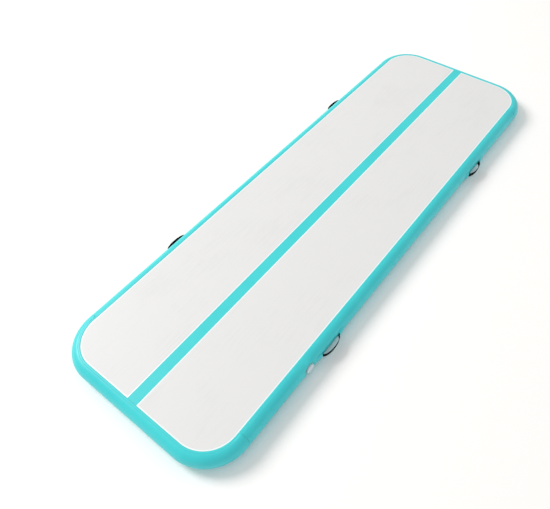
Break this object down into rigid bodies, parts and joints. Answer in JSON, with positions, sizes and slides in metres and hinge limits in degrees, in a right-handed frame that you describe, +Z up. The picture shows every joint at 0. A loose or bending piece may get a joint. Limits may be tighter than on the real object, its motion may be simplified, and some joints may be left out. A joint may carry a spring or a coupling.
{
  "type": "air track mat",
  "caption": "Long flat inflated tumbling mat with rounded corners, bulging side walls, a centre stripe, webbing carrying handles on both long sides and a capped air valve.",
  "frame": {"origin": "on the floor, under the middle of the mat", "axes": "+Z up, +Y along the mat's length towards its far end, +X towards the long side that carries the valve"},
  "size_m": [1.0466, 3.05, 0.1],
  "materials": {
    "grey_pvc": "light grey coated cloth with a fine woven grain, satin",
    "turquoise_pvc": "turquoise coated cloth, smooth, soft sheen",
    "base_pvc": "grey coated cloth with a fine non-slip texture",
    "drop_stitch": "off-white polyester cloth and pile threads",
    "black_webbing": "black woven polyester webbing",
    "white_plastic": "moulded white plastic, half gloss",
    "grey_plastic": "moulded grey plastic",
    "black_rubber": "black rubber",
    "spring_steel": "stainless spring wire"
  },
  "bodies": {
    "mat": {"drop_stitch_core": "drop_stitch", "top_cloth": "drop_stitch", "bottom_cloth": "drop_stitch", "left_top_panel": "grey_pvc", "right_top_panel": "grey_pvc", "centre_stripe": "turquoise_pvc", "bottom_cover": "base_pvc", "left_side_wall": "turquoise_pvc", "right_side_wall": "turquoise_pvc", "near_end_wall": "turquoise_pvc", "far_end_wall": "turquoise_pvc", "left_inner_wall": "drop_stitch", "right_inner_wall": "drop_stitch", "top_seam_tape": "turquoise_pvc", "bottom_seam_tape": "turquoise_pvc", "near_right_handle_near_end": "black_webbing", "near_right_handle_far_end": "black_webbing", "near_right_handle_near_patch": "turquoise_pvc", "near_right_handle_far_patch": "turquoise_pvc", "far_right_handle_near_end": "black_webbing", "far_right_handle_far_end": "black_webbing", "far_right_handle_near_patch": "turquoise_pvc", "far_right_handle_far_patch": "turquoise_pvc", "near_left_handle_near_end": "black_webbing", "near_left_handle_far_end": "black_webbing", "near_left_handle_near_patch": "turquoise_pvc", "near_left_handle_far_patch": "turquoise_pvc", "far_left_handle_near_end": "black_webbing", "far_left_handle_far_end": "black_webbing", "far_left_handle_near_patch": "turquoise_pvc", "far_left_handle_far_patch": "turquoise_pvc", "outer_valve_patch": "turquoise_pvc", "inner_valve_patch": "turquoise_pvc", "valve_gasket": "black_rubber", "valve_body": "white_plastic", "valve_nut": "grey_plastic", "valve_spring": "spring_steel"},
    "near_right_loop": {"near_right_handle": "black_webbing"},
    "far_right_loop": {"far_right_handle": "black_webbing"},
    "near_left_loop": {"near_left_handle": "black_webbing"},
    "far_left_loop": {"far_left_handle": "black_webbing"},
    "valve_plunger": {"seal_disc": "black_rubber", "seal_plate": "grey_plastic"},
    "valve_button": {"push_button": "grey_plastic"},
    "neck_ring": {"tether_ring": "white_plastic"},
    "cap_strap": {"tether_strap": "white_plastic"},
    "cap": {"valve_cap": "white_plastic", "cap_seal": "black_rubber"}
  },
  "joints": [
    {"name": "near_right_handle_swing", "type": "hinge", "parent": "mat", "child": "near_right_loop", "pos_m": [0.5012, -0.725, 0.04552], "axis": [0, -1, 0], "range_deg": [-35, 40]},
    {"name": "far_right_handle_swing", "type": "hinge", "parent": "mat", "child": "far_right_loop", "pos_m": [0.5012, 0.725, 0.04552], "axis": [0, -1, 0], "range_deg": [-35, 40]},
    {"name": "near_left_handle_swing", "type": "hinge", "parent": "mat", "child": "near_left_loop", "pos_m": [-0.5012, -0.725, 0.04552], "axis": [0, 1, 0], "range_deg": [-35, 40]},
    {"name": "far_left_handle_swing", "type": "hinge", "parent": "mat", "child": "far_left_loop", "pos_m": [-0.5012, 0.725, 0.04552], "axis": [0, 1, 0], "range_deg": [-35, 40]},
    {"name": "plunger_press", "type": "slide", "parent": "mat", "child": "valve_plunger", "axis": [-1, 0, 0], "range_m": [0, 0.005], "stiffness_N_per_m": 300, "springref_m": -0.003, "deforming": ["valve_spring"]},
    {"name": "button_lock_turn", "type": "hinge", "parent": "valve_plunger", "child": "valve_button", "pos_m": [0.49, -0.877, 0.05], "axis": [1, 0, 0], "range_deg": [0, 90]},
    {"name": "tether_ring_turn", "type": "hinge", "parent": "mat", "child": "neck_ring", "pos_m": [0.49, -0.877, 0.05], "axis": [1, 0, 0], "range_deg": [-90, 90]},
    {"name": "tether_bend", "type": "hinge", "parent": "neck_ring", "child": "cap_strap", "pos_m": [0.4942, -0.9045, 0.05], "axis": [0, 0, -1], "range_deg": [0, 100]},
    {"name": "cap_unscrew", "type": "hinge", "parent": "cap_strap", "child": "cap", "pos_m": [0.49, -0.877, 0.05], "axis": [1, 0, 0], "range_deg": [0, 90]}
  ]
}
